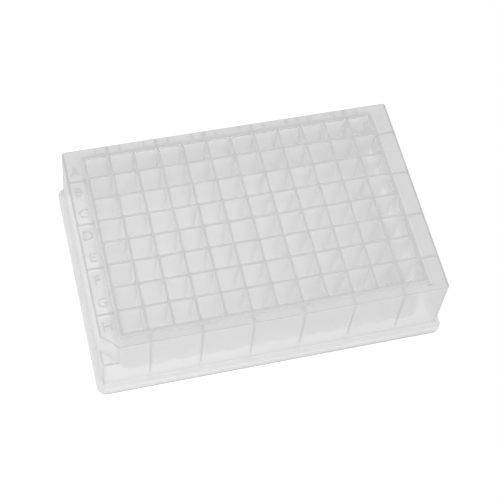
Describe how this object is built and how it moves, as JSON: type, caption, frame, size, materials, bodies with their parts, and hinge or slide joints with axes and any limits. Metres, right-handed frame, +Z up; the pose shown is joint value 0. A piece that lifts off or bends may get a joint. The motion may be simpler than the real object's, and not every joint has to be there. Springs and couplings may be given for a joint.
{
  "type": "deep well plate",
  "caption": "Rectangular deep well plate with square wells in a raised lattice, a tapered skirt, a base flange and one notched corner.",
  "frame": {"origin": "middle of the base, on the surface that the plate stands on", "axes": "+X along the rows from column 1 to column 12, +Y across the columns from row H to row A, +Z up out of the wells"},
  "size_m": [0.1278, 0.0854, 0.0317],
  "materials": {
    "natural_polypropylene": "natural polypropylene, milky and translucent, with a satin moulded surface"
  },
  "bodies": {
    "root": {"well_plate": "natural_polypropylene"}
  },
  "joints": []
}
